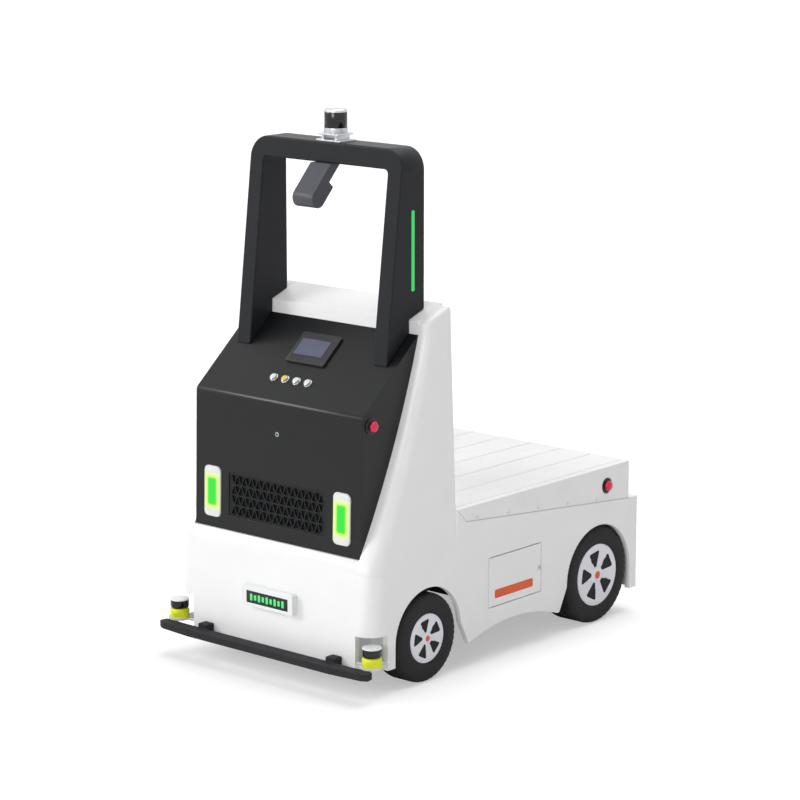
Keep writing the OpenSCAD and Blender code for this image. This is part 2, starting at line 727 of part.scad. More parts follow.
module tyre_front_left() front_tyre(1);
module tyre_front_right() front_tyre(-1);
module tyre_rear_left() rear_tyre(1);
module tyre_rear_right() rear_tyre(-1);

module front_wheel(side) color(white) at_wheel(side, 0, front_tyre_r, front_mid)
  wheel(front_disc_r, front_tyre_w, 30, spindle_r);
module rear_wheel(side) color(white) at_wheel(side, wheelbase, rear_tyre_r, rear_mid)
  wheel(rear_disc_r, rear_tyre_w, 40, rear_spindle_r);

module wheel_front_left() front_wheel(1);
module wheel_front_right() front_wheel(-1);
module wheel_rear_left() rear_wheel(1);
module wheel_rear_right() rear_wheel(-1);

// side hatches

module hatch() difference() {
  union() {
    translate([0, (pin_at[1] + hatch_front + hatch_len - hatch_gap) / 2, hatch_low + hatch_high / 2])
      across(half_w - 24, half_w)
        square([hatch_front + hatch_len - hatch_gap - pin_at[1], hatch_high - 2 * hatch_gap], center = true);
    translate([pin_at[0], pin_at[1], hatch_low + hatch_gap])
      cylinder(h = hatch_high - 2 * hatch_gap, r = barrel_r);
  }
  translate([pin_at[0], pin_at[1], 0]) cylinder(h = 2 * hatch_low + hatch_high, r = barrel_r / 2 + play);
}

module hatch_left() color(white) from_axle() hatch();

module hatch_right() color(white) from_axle() mirror([1, 0, 0]) hatch();

frame_rails();
cross_members();
front_axle_beam();
rear_axle();
battery_block();
nose_panel();
side_panels();
rear_panel();
tower_wings();
tower_cover();
console_shell();
grille_panel();
headlamp_housings();
headlamp_lenses();
screen_bezel();
display_glass();
push_buttons();
stop_collars();
stop_buttons();
hoop();
light_strips();
lidar_bracket();
lidar_housing();
lidar_window();
camera_pod();
sign_box();
scanner_pockets();
scanner_bases();
scanner_hoods();
front_bumper();
deck_cover();
tow_coupling();
knuckle_left();
knuckle_right();
tie_rod();
tyre_front_left();
tyre_front_right();
tyre_rear_left();
tyre_rear_right();
wheel_front_left();
wheel_front_right();
wheel_rear_left();
wheel_rear_right();
hatch_left();
hatch_right();
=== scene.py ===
"""Looks of a driverless airport tow tractor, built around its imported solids.

Lengths are written in millimetres and turned to metres by mm(). The front is -Y, the left side is +X.
"""

import logging
import math
from dataclasses import dataclass, field
from enum import Enum
from typing import Callable, Iterable, Optional, Sequence

import bmesh
import bpy
from mathutils import Matrix, Vector


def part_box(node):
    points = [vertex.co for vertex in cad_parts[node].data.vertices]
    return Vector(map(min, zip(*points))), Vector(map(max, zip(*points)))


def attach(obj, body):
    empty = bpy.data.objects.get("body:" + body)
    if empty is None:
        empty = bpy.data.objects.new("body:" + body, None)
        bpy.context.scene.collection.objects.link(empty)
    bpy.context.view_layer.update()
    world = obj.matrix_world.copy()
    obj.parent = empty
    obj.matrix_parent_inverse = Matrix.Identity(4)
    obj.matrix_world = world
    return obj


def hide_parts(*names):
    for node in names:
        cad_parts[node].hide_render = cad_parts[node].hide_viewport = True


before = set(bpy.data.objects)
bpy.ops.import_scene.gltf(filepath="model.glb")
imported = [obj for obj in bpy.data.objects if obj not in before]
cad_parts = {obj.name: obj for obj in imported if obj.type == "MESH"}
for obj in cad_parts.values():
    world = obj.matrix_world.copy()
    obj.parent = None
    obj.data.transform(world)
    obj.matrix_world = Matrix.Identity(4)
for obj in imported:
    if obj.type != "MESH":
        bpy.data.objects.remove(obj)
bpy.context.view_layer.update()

log = logging.getLogger("tow_tractor")

Point2 = tuple[float, float]
Point3 = tuple[float, float, float]
Colour = tuple[float, float, float, float]

AXLE_Y = -631.0      # front axle, from the middle of the model
HALF_W = 645.0       # body's half width
WELD_M = 1e-5        # points of a solid's mesh nearer than this are one
FLAT_DEG = 0.4       # faces that turn less than this are one
EASE_DEG = 32.0      # edges that turn more than this are eased


class Side(Enum):
    """The two sides of the machine, as the sign of X."""

    LEFT = 1
    RIGHT = -1

    @property
    def word(self) -> str:
        """The side's name in lower case."""
        return self.name.lower()


class Body(Enum):
    """The rigid bodies that pieces ride on."""

    CHASSIS = "chassis"
    HATCH_LEFT = "hatch_l"
    HATCH_RIGHT = "hatch_r"
    FRONT_LEFT = "front_left_wheel"
    FRONT_RIGHT = "front_right_wheel"
    REAR_LEFT = "rear_left_wheel"
    REAR_RIGHT = "rear_right_wheel"


def mm(length: float) -> float:
    """Turns millimetres to metres."""
    return length / 1000.0


def at(x: float, y: float, z: float) -> Vector:
    """A point given in millimetres, with y counted from the front axle."""
    return Vector((mm(x), mm(y + AXLE_Y), mm(z)))


def srgb(code: str) -> Colour:
    """Turns an sRGB hex colour to linear.

    Args:
        code: Colour as "#rrggbb".

    Returns:
        Linear red, green and blue, with alpha 1.
    """
    parts = [int(code[i:i + 2], 16) / 255 for i in (1, 3, 5)]
    linear = [c / 12.92 if c <= 0.04045 else ((c + 0.055) / 1.055) ** 2.4 for c in parts]
    return (linear[0], linear[1], linear[2], 1.0)


# Finishes


def add_node(tree: bpy.types.NodeTree, kind: str, settings: Optional[dict] = None,
             links: Optional[dict] = None) -> bpy.types.Node:
    """Adds one node to a tree.

    Args:
        tree: Node tree that takes the node.
        kind: Node type, such as "ShaderNodeTexNoise".
        settings: Values by property name, or by input name or number.
        links: Output sockets by the name or number of the input that each feeds.

    Returns:
        The new node.
    """
    node = tree.nodes.new(kind)
    for key, value in (settings or {}).items():
        if isinstance(key, str) and hasattr(node, key):
            setattr(node, key, value)
        else:
            node.inputs[key].default_value = value
    for key, socket in (links or {}).items():
        tree.links.new(socket, node.inputs[key])
    return node


@dataclass(frozen=True)
class Finish:
    """A surface: a colour that drifts a little, a roughness that varies, and a fine relief.

    Attributes:
        name: Common name of the material and how it was made.
        colour: Main sRGB colour.
        shade: Second sRGB colour that the drift goes to.
        roughness: Mean roughness.
        spread: How far the roughness goes either way.
        metallic: 1 for bare metal.
        drift_mm: Size of the colour's patches.
        grain_mm: Size of the relief's grain.
        relief_mm: Height of the relief.
        stretch: Factors that draw the grain out along X, Y and Z.
        coat: Weight of a clear coat.
        coat_rough: Roughness of that coat.
        gloss: Strength of the mirror-like part, 0.5 for common paint.
    """

    name: str
    colour: str
    shade: str
    roughness: float
    spread: float = 0.05
    metallic: float = 0.0
    drift_mm: float = 160.0
    grain_mm: float = 8.0
    relief_mm: float = 0.1
    stretch: Point3 = (1.0, 1.0, 1.0)
    coat: float = 0.0
    coat_rough: float = 0.2
    gloss: float = 0.5

    def make(self) -> bpy.types.Material:
        """Builds the material, unless it is there already.

        Returns:
            The material.
        """
        known = bpy.data.materials.get(self.name)
        if known:
            return known
        material = bpy.data.materials.new(self.name)
        material.use_nodes = True
        tree = material.node_tree
        shader = tree.nodes["Principled BSDF"]
        shader.inputs["Metallic"].default_value = self.metallic
        shader.inputs["Coat Weight"].default_value = self.coat
        shader.inputs["Coat Roughness"].default_value = self.coat_rough
        shader.inputs["Specular IOR Level"].default_value = self.gloss
        self.paint(tree, shader)
        return material

    def paint(self, tree: bpy.types.NodeTree, shader: bpy.types.Node) -> None:
        """Links the drift, the roughness and the relief to the shader.

        Args:
            tree: The material's nodes.
            shader: Its Principled node.
        """
        place = add_node(tree, "ShaderNodeTexCoord")
        grain_space = add_node(tree, "ShaderNodeMapping", {"Scale": self.stretch},
                               {"Vector": place.outputs["Object"]})
        drift = add_node(tree, "ShaderNodeTexNoise", {"Scale": 1000 / self.drift_mm, "Detail": 4.0},
                         {"Vector": place.outputs["Object"]})
        tint = add_node(tree, "ShaderNodeMix", {"data_type": "RGBA", 6: srgb(self.colour), 7: srgb(self.shade)},
                        {0: drift.outputs["Fac"]})
        grain = add_node(tree, "ShaderNodeTexNoise", {"Scale": 1000 / self.grain_mm, "Detail": 3.0},
                         {"Vector": grain_space.outputs["Vector"]})
        rough = add_node(tree, "ShaderNodeMapRange",
                         {"To Min": self.roughness - self.spread, "To Max": self.roughness + self.spread},
                         {"Value": grain.outputs["Fac"]})
        bump = add_node(tree, "ShaderNodeBump", {"Strength": 0.6, "Distance": mm(self.relief_mm)},
                        {"Height": grain.outputs["Fac"]})
        tree.links.new(tint.outputs[2], shader.inputs["Base Color"])
        tree.links.new(rough.outputs["Result"], shader.inputs["Roughness"])
        tree.links.new(bump.outputs["Normal"], shader.inputs["Normal"])


@dataclass(frozen=True)
class LitLens(Finish):
    """A piece over lamps or beside them: its middle and its rim glow in two colours; on a piece beside a lamp the
    glow is painted light of that lamp.

    Attributes:
        glow: sRGB colour of the glow in the middle.
        rim: sRGB colour of the glow at the rim, black for none.
        half: Half width and half height of the piece in its own plane.
        fade_mm: Width of the band at the rim where the glow changes.
    """

    glow: str = "#22e434"
    rim: str = "#e8ff80"
    half: Point2 = (30.0, 70.0)
    fade_mm: float = 12.0

    def paint(self, tree: bpy.types.NodeTree, shader: bpy.types.Node) -> None:
        """Adds the glow, changing towards the rim, to the plain surface.

        Args:
            tree: The material's nodes.
            shader: Its Principled node.
        """
        super().paint(tree, shader)
        place = add_node(tree, "ShaderNodeTexCoord")
        split = add_node(tree, "ShaderNodeSeparateXYZ", links={0: place.outputs["Object"]})
        reach = []
        for axis, half in zip((0, 1), self.half):
            size = add_node(tree, "ShaderNodeMath", {"operation": "ABSOLUTE"}, {0: split.outputs[axis]})
            reach.append(add_node(tree, "ShaderNodeMapRange",
                                  {"From Min": mm(half - self.fade_mm), "From Max": mm(half)},
                                  {"Value": size.outputs[0]}))
        edge = add_node(tree, "ShaderNodeMath", {"operation": "MAXIMUM"},
                        {0: reach[0].outputs["Result"], 1: reach[1].outputs["Result"]})
        glow = add_node(tree, "ShaderNodeMix", {"data_type": "RGBA", 6: srgb(self.glow), 7: srgb(self.rim)},
                        {0: edge.outputs[0]})
        if self.rim == "#000000":
            # on a piece beside a lamp only the painted glow of that lamp shows in the middle, over near-black, so
            # that its colour stays clear
            tint = shader.inputs["Base Color"].links[0].from_socket
            own = add_node(tree, "ShaderNodeMix", {"data_type": "RGBA", 6: srgb("#0a0c06")},
                           {0: edge.outputs[0], 7: tint})
            tree.links.new(own.outputs[2], shader.inputs["Base Color"])
        tree.links.new(glow.outputs[2], shader.inputs["Emission Color"])
        shader.inputs["Emission Strength"].default_value = 1.0


# Spray-painted moulded body: clean white with a soft gloss and a faint orange peel, coarse enough to show.
BODY_WHITE = Finish("white gelcoat on glass-fibre", "#f3f3f4", "#eeeeef", 0.34, 0.05, grain_mm=14,
                    relief_mm=0.05, coat=0.15)
# Deck lid of the same paint, a little duller from loads that slide on it.
DECK_WHITE = Finish("white paint on deck sheet", "#f3f3f4", "#ebebec", 0.42, 0.08, grain_mm=10,
                    relief_mm=0.08)
# Powder-coated steel sheet: near black, a fine even texture that spreads the highlights.
CONSOLE_BLACK = Finish("black powder coat on steel sheet", "#0f1012", "#141517", 0.36, 0.04, grain_mm=5,
                       relief_mm=0.05, gloss=0.2, coat=0.24)
# Powder-coated hoop casting, a shade lighter and smoother than the console.
HOOP_BLACK = Finish("satin black paint on cast aluminium", "#1f2023", "#25262a", 0.40, 0.05, grain_mm=7,
                    relief_mm=0.08, gloss=0.16)
# Camera pod: grey polycarbonate, a step lighter than the hoop.
POD_GREY = Finish("grey polycarbonate moulding", "#46474d", "#4e4f55", 0.42, 0.05, grain_mm=5,
                  relief_mm=0.08, gloss=0.3)
# Moulded grille: blacker and duller than the sheet round it, so that its webs stay quiet.
GRILLE_BLACK = Finish("black moulded nylon", "#17181a", "#1d1e20", 0.6, 0.06, grain_mm=4, relief_mm=0.08,
                      gloss=0.2)
# Painted shade: black sheets behind the grille, in the key slots and in the wheels' windows, where no detail
# shows.
SHADOW_BLACK = Finish("matt black painted shade", "#0b0b0c", "#101012", 0.9, 0.05, grain_mm=6, relief_mm=0.3)
# Moulded ABS of the lamp and sign housings: white, glossy.
HOUSING_WHITE = Finish("white ABS moulding", "#eef0ef", "#e6e8e8", 0.25, 0.04, grain_mm=9, relief_mm=0.04,
                       coat=0.2)
# Acrylic lamp lens lit from behind: saturated green, yellow where the light leaks at the rim.
LAMP_GREEN = LitLens("lit green acrylic lens", "#0a2a0e", "#0c3010", 0.3, grain_mm=6, relief_mm=0.05,
                     rim="#70f048")
# Lamp frame: white ABS with a painted yellow-green halo from its own lens.
LAMP_FRAME = LitLens("white ABS lit by its lamp", "#e4e6e4", "#dcdfdc", 0.28, grain_mm=9, relief_mm=0.04,
                     gloss=0.4, glow="#e2ff4a", rim="#000000", half=(56.0, 96.0), fade_mm=26.0)
# Diffuser strip over a row of green lamps.
STRIP_GREEN = LitLens("lit green diffuser strip", "#062a12", "#083016", 0.35, glow="#1ecb58", rim="#2cd868",
                      half=(11.0, 193.0), fade_mm=5.0)
# Rows of small green lamps behind the sign's dark window.
SIGN_GREEN = LitLens("lit green sign segment", "#0a2a14", "#0c3018", 0.35, glow="#52e880", rim="#5df08a",
                     half=(8.0, 18.0), fade_mm=4.0)
# Polycarbonate bezels and collars: matt black with a fine spark-eroded texture.
BEZEL_BLACK = Finish("black polycarbonate moulding", "#1d1d20", "#242427", 0.5, 0.07, grain_mm=4,
                     relief_mm=0.1)
# Display glass: dark, smooth, with a cool tint of the panel below.
SCREEN_GLASS = Finish("display glass over a grey-blue panel", "#43465a", "#595d78", 0.12, 0.02,
                      drift_mm=120, relief_mm=0.01)
# Sign window: nearly black, so that only the lit bars show through.
SIGN_GLASS = Finish("smoked sign window", "#0c0f0d", "#101411", 0.12, 0.02, relief_mm=0.01)
# Turned and brushed steel of button rims, bolts and pins.
BRIGHT_STEEL = Finish("turned stainless steel", "#c9cbce", "#b4b6ba", 0.28, 0.08, metallic=1.0, drift_mm=30,
                      grain_mm=3, relief_mm=0.05, stretch=(1, 1, 6))
# Bead-blasted and clear anodised aluminium of the turning sensor and its bracket.
ANODISED = Finish("clear anodised aluminium", "#d4d6d9", "#c6c8cc", 0.36, 0.06, metallic=1.0, drift_mm=40,
                  grain_mm=2.5, relief_mm=0.06)
# Infrared-pass window of the sensors: black and glossy.
SENSOR_BLACK = Finish("infrared-pass polycarbonate window", "#0d0e11", "#131418", 0.1, 0.03, relief_mm=0.01)
# Enamel-red mushroom heads.
STOP_RED = Finish("red glass-filled nylon", "#e01d4a", "#d81a44", 0.3, 0.04, drift_mm=20, grain_mm=3,
                  relief_mm=0.05)
# Button caps: small glossy spots of colour.
CAP_YELLOW = Finish("yellow polycarbonate cap", "#f2d21a", "#e9c710", 0.3, 0.04, drift_mm=20, grain_mm=3,
                    relief_mm=0.03)
CAP_WHITE = Finish("white polycarbonate cap", "#e9eaea", "#dfe0e0", 0.3, 0.04, drift_mm=20, grain_mm=3,
                   relief_mm=0.03)
# Scanner bases: moulded in a lemon safety yellow.
SCANNER_YELLOW = Finish("lemon yellow die casting", "#e4ee0a", "#d6e008", 0.38, 0.05, drift_mm=40,
                        grain_mm=4, relief_mm=0.06)
# Pocket liner: pale, so that the scanner stands out against its own shade.
POCKET_GREY = Finish("pale grey painted pocket liner", "#d6d7db", "#cbccd2", 0.5, 0.06, grain_mm=6,
                     relief_mm=0.08)
# Foam-cored contact bumper: matt black rubber skin with a pebbled grain.
BUMPER_RUBBER = Finish("pebbled black rubber skin", "#202023", "#27272a", 0.72, 0.08, drift_mm=90,
                       grain_mm=5, relief_mm=0.35, gloss=0.25)
# Tyre rubber: charcoal, dusty on the sidewall, with a fine mould texture.
TYRE_RUBBER = Finish("moulded tyre rubber", "#1d1d1e", "#272727", 0.78, 0.08, drift_mm=70, grain_mm=6,
                     relief_mm=0.25, gloss=0.3)
# Stove-enamelled wheel discs, white with a cool tint.
WHEEL_WHITE = Finish("white stove enamel on steel disc", "#ececf2", "#e2e2ea", 0.3, 0.05, grain_mm=8,
                     relief_mm=0.05, coat=0.2)
# Chassis paint: brushed on, dull and a little uneven.
CHASSIS_BLACK = Finish("black chassis paint on steel", "#232427", "#2e2f32", 0.55, 0.1, drift_mm=120,
                       grain_mm=6, relief_mm=0.15)
# Castings of the axles and the jaw: rough from the sand, with a dark metal sheen.
CAST_IRON = Finish("sand-cast iron", "#36373a", "#46474b", 0.62, 0.1, metallic=0.6, drift_mm=60, grain_mm=5,
                   relief_mm=0.4)
# Battery case: dull slate blue, seen only through the open hatches.
BATTERY_BLUE = Finish("slate blue paint on steel case", "#3a4350", "#333b47", 0.5, 0.08, drift_mm=140,
                      grain_mm=6, relief_mm=0.1)
# Painted shadow under the deck lid's skirt: a soft grey line that sets the lid off from the panel.
SKIRT_SHADOW_GREY = Finish("grey sealing rubber", "#c6c7c9", "#bdbfc1", 0.7, 0.06, drift_mm=60, grain_mm=3,
                   relief_mm=0.08, gloss=0.3)
# Self-adhesive film, plain orange.
ORANGE_FILM = Finish("orange vinyl film", "#e8590c", "#e05308", 0.36, 0.04, drift_mm=60, grain_mm=5,
                     relief_mm=0.03)


# Mesh making


def link(name: str, mesh: bpy.types.Mesh, matrix: Optional[Matrix] = None,
         smooth_deg: float = 35.0) -> bpy.types.Object:
    """Puts a mesh in the scene as a smooth-shaded object with sharp edges over an angle.

    Args:
        name: Piece name.
        mesh: Its mesh.
        matrix: Its place, or none for the origin.
        smooth_deg: Edges that turn more than this stay sharp.

    Returns:
        The new object.
    """
    for polygon in mesh.polygons:
        polygon.use_smooth = True
    mesh.set_sharp_from_angle(angle=math.radians(smooth_deg))
    piece = bpy.data.objects.new(name, mesh)
    bpy.context.scene.collection.objects.link(piece)
    if matrix is not None:
        piece.matrix_world = matrix
    return piece


def from_faces(name: str, points: Iterable[Sequence[float]], faces: Iterable[Sequence[int]],
               matrix: Optional[Matrix] = None, smooth_deg: float = 35.0) -> bpy.types.Object:
    """Makes a piece from points and faces, with its normals turned outward.

    Args:
        name: Piece name.
        points: Points in metres.
        faces: Point numbers of each face.
        matrix: Place of the piece, or none for the origin.
        smooth_deg: Edges that turn more than this stay sharp.

    Returns:
        The new piece.
    """
    mesh = bpy.data.meshes.new(name)
    mesh.from_pydata([tuple(p) for p in points], [], [tuple(f) for f in faces])
    work = bmesh.new()
    work.from_mesh(mesh)
    bmesh.ops.remove_doubles(work, verts=work.verts, dist=1e-6)
    bmesh.ops.recalc_face_normals(work, faces=work.faces)
    work.to_mesh(mesh)
    work.free()
    return link(name, mesh, matrix, smooth_deg)


def lathe(name: str, profile: Sequence[Point2], matrix: Matrix, steps: int = 64,
          dent: Optional[Callable[[int, int], float]] = None) -> bpy.types.Object:
    """Turns a profile round the local Z axis.

    Args:
        name: Piece name.
        profile: Radius and height of each point in millimetres.
        matrix: Place of the piece.
        steps: Points round the turn.
        dent: Millimetres to take off the radius at a profile index and a step.

    Returns:
        The new piece.
    """
    points: list[Sequence[float]] = []
    for i in range(steps):
        a = 2 * math.pi * i / steps
        for k, (r, z) in enumerate(profile):
            r = max(r - (dent(k, i) if dent else 0.0), 0.0)
            points.append((mm(r) * math.cos(a), mm(r) * math.sin(a), mm(z)))
    n = len(profile)
    faces: list[Sequence[int]] = []
    for i in range(steps):
        a, b = i * n, (i + 1) % steps * n
        for k in range(n - 1):
            if profile[k][0] == 0:
                faces.append((a + k, a + k + 1, b + k + 1))
            elif profile[k + 1][0] == 0:
                faces.append((a + k, a + k + 1, b + k))
            else:
                faces.append((a + k, a + k + 1, b + k + 1, b + k))
    return from_faces(name, points, faces, matrix)


def rounded_outline(width: float, height: float, radius: float, steps: int = 8) -> list[Point2]:
    """Outline of a rounded rectangle about the origin.

    Args:
        width: Its width in millimetres.
        height: Its height.
        radius: Its corner radius.
        steps: Parts of each corner's arc.

    Returns:
        Points of the outline.
    """
    outline: list[Point2] = []
    for turn, (sx, sy) in enumerate(((1, 1), (-1, 1), (-1, -1), (1, -1))):
        for i in range(steps + 1):
            a = math.pi / 2 * (turn + i / steps)
            outline.append((sx * (width / 2 - radius) + radius * math.cos(a),
                            sy * (height / 2 - radius) + radius * math.sin(a)))
    return outline


def soft_corners(corners: Sequence[Point2], radius: float, steps: int = 7) -> list[Point2]:
    """Outline at an even distance round a convex polygon.

    Args:
        corners: Its corners, anticlockwise.
        radius: Distance of the outline, which is also its corner radius.
        steps: Parts of each corner's arc.

    Returns:
        Points of the outline.
    """
    outline: list[Point2] = []
    for i, (x, y) in enumerate(corners):
        before, after = corners[i - 1], corners[(i + 1) % len(corners)]
        start = math.atan2(y - before[1], x - before[0]) - math.pi / 2
        turn = (math.atan2(after[1] - y, after[0] - x) - math.pi / 2 - start) % (2 * math.pi)
        for k in range(steps + 1):
            a = start + turn * k / steps
            outline.append((x + radius * math.cos(a), y + radius * math.sin(a)))
    return outline


def plate(name: str, layers: Sequence[tuple[Sequence[Point2], float]], matrix: Matrix) -> bpy.types.Object:
    """Makes a closed piece by joining outlines of equal length, one above the other.

    Args:
        name: Piece name.
        layers: Outline and height of each layer in millimetres, from the bottom up.
        matrix: Place of the piece.

    Returns:
        The new piece.
    """
    n = len(layers[0][0])
    points = [(mm(x), mm(y), mm(z)) for outline, z in layers for x, y in outline]
    faces: list[Sequence[int]] = [tuple(reversed(range(n))), tuple((len(layers) - 1) * n + i for i in range(n))]
    for k in range(len(layers) - 1):
        for i in range(n):
            j = (i + 1) % n
            faces.append((k * n + i, k * n + j, (k + 1) * n + j, (k + 1) * n + i))
    return from_faces(name, points, faces, matrix)


def soft_plate(name: str, size: Point2, radius: float, thick: float, edge: float,
               matrix: Matrix) -> bpy.types.Object:
    """A rounded plate with eased upper edges, from z = 0 up.

    Args:
        name: Piece name.
        size: Width and height.
        radius: Corner radius.
        thick: Thickness.
        edge: Radius of the upper edge.
        matrix: Place of the piece.

    Returns:
        The new piece.
    """
    layers = [(rounded_outline(size[0], size[1], radius), 0.0)]
    for i in range(5):
        a = math.pi / 2 * i / 4
        cut = edge * (1 - math.cos(a))
        layers.append((rounded_outline(size[0] - 2 * cut, size[1] - 2 * cut, max(radius - cut, 0.5)),
                       thick - edge + edge * math.sin(a)))
    return plate(name, layers, matrix)


def toward(point: Vector, normal: Vector, up: Vector = Vector((0, 0, 1))) -> Matrix:
    """A frame with its Z along a normal and its Y as near to up as it can be.

    Args:
        point: Its origin.
        normal: Direction of its Z.
        up: Direction that its Y is drawn to.

    Returns:
        The frame's matrix.
    """
    z = normal.normalized()
    x = up.cross(z).normalized()
    y = z.cross(x)
    turn = Matrix((x, y, z)).transposed().to_4x4()
    return Matrix.Translation(point) @ turn


def dress(piece: bpy.types.Object, finish: Finish) -> bpy.types.Object:
    """Gives a piece its finish.

    Args:
        piece: The piece.
        finish: Its finish.

    Returns:
        The piece.
    """
    piece.data.materials.clear()
    piece.data.materials.append(finish.make())
    return piece


def place(piece: bpy.types.Object, finish: Finish, body: Body, *nodes: str) -> bpy.types.Object:
    """Dresses a new piece, lets it ride on a body and hides the solids that it stands for.

    Args:
        piece: The new piece.
        finish: Its finish.
        body: The body it rides on.
        nodes: Names of the solids that it stands for.

    Returns:
        The piece.
    """
    dress(piece, finish)
    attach(piece, body.value)
    if nodes:
        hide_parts(*nodes)
    log.info("piece %s rides on %s", piece.name, body.value)
    return piece


def keep(node: str, finish: Finish, edge: float = 0.0, segments: int = 3) -> bpy.types.Object:
    """Keeps a solid as it is, with a finish and eased edges.

    Args:
        node: The solid's name.
        finish: Its finish.
        edge: Radius of its eased edges in millimetres, 0 for none.
        segments: Steps in each eased edge.

    Returns:
        The solid's object.
    """
    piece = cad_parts[node]
    dress(piece, finish)
    if edge > 0:
        piece.modifiers.new("join", "WELD").merge_threshold = WELD_M
        flat = piece.modifiers.new("flat", "DECIMATE")
        flat.decimate_type = "DISSOLVE"
        flat.angle_limit = math.radians(FLAT_DEG)
        ease = piece.modifiers.new("ease", "BEVEL")
        ease.width = mm(edge)
        ease.segments = segments
        ease.limit_method = "ANGLE"
        ease.angle_limit = math.radians(EASE_DEG)
        ease.harden_normals = True
        ease.use_clamp_overlap = True
    log.info("solid %s kept", node)
    return piece


def screw_head(name: str, radius: float, matrix: Matrix, finish: Finish, body: Body) -> bpy.types.Object:
    """Makes a low domed screw head with a driver socket.

    Args:
        name: Piece name.
        radius: Its radius in millimetres.
        matrix: Place of its seat, with Z outward.
        finish: Its finish.
        body: The body it rides on.

    Returns:
        The screw head.
    """
    r = radius
    profile = [(0, 0.4 * r), (0.34 * r, 0.4 * r), (0.42 * r, 0.62 * r), (0.7 * r, 0.52 * r), (0.94 * r, 0.28 * r),
               (r, 0.0), (0.5 * r, -0.3 * r), (0, -0.3 * r)]
    return place(lathe(name, profile, matrix, 24), finish, body)


# Sub-assemblies


@dataclass
class TowerWalls:
    """The swept white side walls: a shoulder, a hollow arc and a lip, leaning in towards the top."""

    inner: float = 545.0        # inner face, from the middle of the machine
    back: float = 212.0         # rear face, from the front axle
    nose_y: float = -410.0      # front of the nose
    nose_high: float = 668.0    # top of the nose
    lip_y: float = 37.0         # front of the lip
    high: float = 1816.0        # top of the wall at the back
    lip_drop: Point2 = (129.0, 65.0)    # lower and upper end of the lip, below the top
    shoulder: Point2 = (15.0, 12.0)     # run of the round shoulder, and its end below the nose's top
    sag: float = 33.0           # depth of the hollow arc
    lean_deg: float = 2.2       # lean of the outside
    corner_r: float = 85.0      # front edge's radius at the shoulder
    edge_r: float = 40.0        # front edge's radius at the lip
    rear_r: float = 8.0
    top_r: float = 28.0
    deck_z: float = 836.0       # load deck, under which the rear edge is sharp
    steps: int = 44

    def __post_init__(self) -> None:
        """Works out the arcs of the front edge."""
        self.lip_low, self.lip_high = (self.high - drop for drop in self.lip_drop)
        run, drop = self.shoulder
        a, b = Vector((self.nose_y + run, self.nose_high - drop)), Vector((self.lip_y, self.lip_low))
        chord = b - a
        self.sweep_r = (chord.length ** 2 / 4 + self.sag ** 2) / (2 * self.sag)
        out = Vector((-chord.y, chord.x)).normalized()
        self.sweep_c = (a + b) / 2 + out * (self.sweep_r - self.sag)
        lean = math.atan2(chord.x, chord.y) + math.asin(chord.length / 2 / self.sweep_r)
        self.sweep_z = a.y
        self.shoulder_r = run / (1 - math.cos(lean))
        self.shoulder_z = a.y - self.shoulder_r * math.sin(lean)

    def front(self, z: float) -> float:
        """Place of the front edge at a height.

        Args:
            z: The height.

        Returns:
            Its y, from the front axle.
        """
        if z >= self.lip_low:
            return self.lip_y
        if z <= self.sweep_z:
            return self.nose_y + self.shoulder_r - math.sqrt(self.shoulder_r ** 2 - (z - self.shoulder_z) ** 2)
        return self.sweep_c.x + math.sqrt(self.sweep_r ** 2 - (z - self.sweep_c.y) ** 2)

    def ring(self, z: float, cut: float = 0.0) -> list[Point2]:
        """Outline of the wall at height z, from the inner rear corner round the front.

        Args:
            z: Height.
            cut: How far the outline is drawn in at the front, the outside and the back.

        Returns:
            Points of the outline.
        """
        f, rise = self.front(z), (z - self.shoulder_z) / (self.lip_low - self.shoulder_z)
        r = self.corner_r + (self.edge_r - self.corner_r) * min(1.0, rise) - cut
        x = HALF_W - math.tan(math.radians(self.lean_deg)) * (z - self.shoulder_z) - cut
        f, back, rear = f + cut, self.back - cut, max(self.rear_r - cut, 1.0) if z > self.deck_z else 0.5
        outline: list[Point2] = [(self.inner, back), (self.inner, f)]
        for i in range(17):
            a = math.pi / 2 * i / 16
            outline.append((x - r + r * math.sin(a), f + r - r * math.cos(a)))
        for i in range(7):
            a = math.pi / 2 * i / 6
            outline.append((x - rear + rear * math.cos(a), back - rear + rear * math.sin(a)))
        return outline

    def build(self) -> None:
        """Builds both walls as one piece in place of the faceted solids."""
        heights = [self.shoulder_z + (self.sweep_z - self.shoulder_z) * i / 6 for i in range(6)]
        rise = self.lip_low - self.sweep_z
        heights += [self.sweep_z + rise * i / self.steps for i in range(self.steps + 1)]
        points: list[Vector] = []
        faces: list[Sequence[int]] = []
        for side in Side:
            rings = [[at(side.value * x, y, z) for x, y in self.ring(z)] for z in heights]
            slope = (self.high - self.lip_high) / (self.back - self.lip_y)
            for i in range(7):
                a = math.pi / 2 * i / 6
                drop, cut = self.top_r * (1 - math.sin(a)), self.top_r * (1 - math.cos(a))
                rings.append([at(side.value * x, y, self.lip_high + slope * (y - self.lip_y) - drop)
                              for x, y in self.ring(self.lip_high, cut)])
            n, base = len(rings[0]), len(points)
            points += [p for ring in rings for p in ring]
            faces += [[base + i for i in range(n)], [base + (len(rings) - 1) * n + i for i in range(n)]]
            for k in range(len(rings) - 1):
                low, high = base + k * n, base + (k + 1) * n
                for i in range(n):
                    j = (i + 1) % n
                    faces.append([low + i, low + j, high + j, high + i])
        walls = from_faces("tower_side_walls", points, faces, smooth_deg=30)
        place(walls, BODY_WHITE, Body.CHASSIS, "tower_wings")


